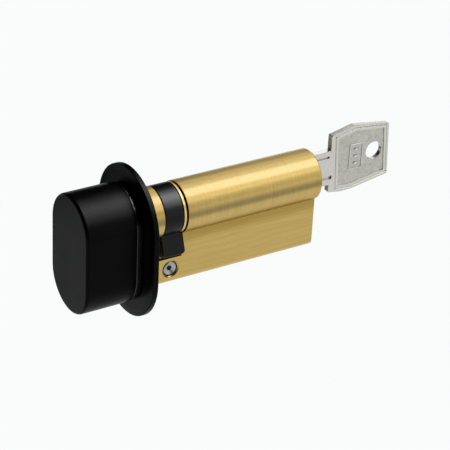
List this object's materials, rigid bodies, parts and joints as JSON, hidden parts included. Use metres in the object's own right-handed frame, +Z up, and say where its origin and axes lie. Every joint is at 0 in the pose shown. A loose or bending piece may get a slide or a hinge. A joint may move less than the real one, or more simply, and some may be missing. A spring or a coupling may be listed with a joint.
{
  "type": "thumb turn lock cylinder",
  "caption": "Profile lock cylinder with a key at one end and an oval black thumb turn and rose at the other; either turns the cam that throws a deadbolt.",
  "frame": {"origin": "on the lock axis, in the plane of the fixing screw that holds the cylinder in the lock case", "axes": "+X along the lock axis towards the key, +Z up from the stem to the barrel, +Y across the profile, away from the cam lever's side"},
  "size_m": [0.1191, 0.036, 0.0505],
  "materials": {
    "satin_brass": "brushed, lacquered",
    "turned_brass": "fine turned",
    "black_coating": "satin black powder coat",
    "black_cam": "black, satin, sintered steel",
    "nickel_silver": "satin stamped nickel silver",
    "bright_steel": "zinc plated",
    "spring_steel": "drawn wire and strip",
    "seal_rubber": "matte"
  },
  "bodies": {
    "housing": {"cylinder_body": "satin_brass", "rose": "black_coating", "rose_screw_1": "bright_steel", "rose_screw_2": "bright_steel", "fixing_set_screw": "bright_steel", "driver_pin_1": "bright_steel", "driver_pin_2": "bright_steel", "driver_pin_3": "bright_steel", "driver_pin_4": "bright_steel", "driver_pin_5": "bright_steel", "driver_pin_6": "bright_steel", "pin_spring_1": "spring_steel", "pin_spring_2": "spring_steel", "pin_spring_3": "spring_steel", "pin_spring_4": "spring_steel", "pin_spring_5": "spring_steel", "pin_spring_6": "spring_steel", "chamber_plug_1": "turned_brass", "chamber_plug_2": "turned_brass", "chamber_plug_3": "turned_brass", "chamber_plug_4": "turned_brass", "chamber_plug_5": "turned_brass", "chamber_plug_6": "turned_brass"},
    "thumb_turn": {"knob_shell": "black_coating", "knob_base_plate": "black_coating", "knob_set_screw": "bright_steel", "spindle": "bright_steel", "spindle_circlip": "spring_steel", "spindle_o_ring": "seal_rubber", "cam": "black_cam", "cam_circlip": "spring_steel"},
    "plug": {"plug": "turned_brass", "plug_retaining_ring": "turned_brass", "anti_drill_pin_near": "bright_steel", "anti_drill_pin_far": "bright_steel", "clutch_coupler": "bright_steel", "clutch_spring": "spring_steel", "key_pin_1": "turned_brass", "key_pin_2": "turned_brass", "key_pin_3": "turned_brass", "key_pin_4": "turned_brass", "key_pin_5": "turned_brass", "key_pin_6": "turned_brass"},
    "key": {"key": "nickel_silver"}
  },
  "joints": [
    {"name": "turn_rotation", "type": "hinge", "parent": "housing", "child": "thumb_turn", "pos_m": [0, 0, 0], "axis": [1, 0, 0], "continuous": true},
    {"name": "plug_rotation", "type": "hinge", "parent": "housing", "child": "plug", "pos_m": [0, 0, 0], "axis": [1, 0, 0], "continuous": true},
    {"name": "key_slide", "type": "slide", "parent": "plug", "child": "key", "axis": [1, 0, 0], "range_m": [0, 0.036]}
  ],
  "couplings": [
    {"joint": "plug_rotation", "follows": "turn_rotation", "ratio": 1}
  ]
}
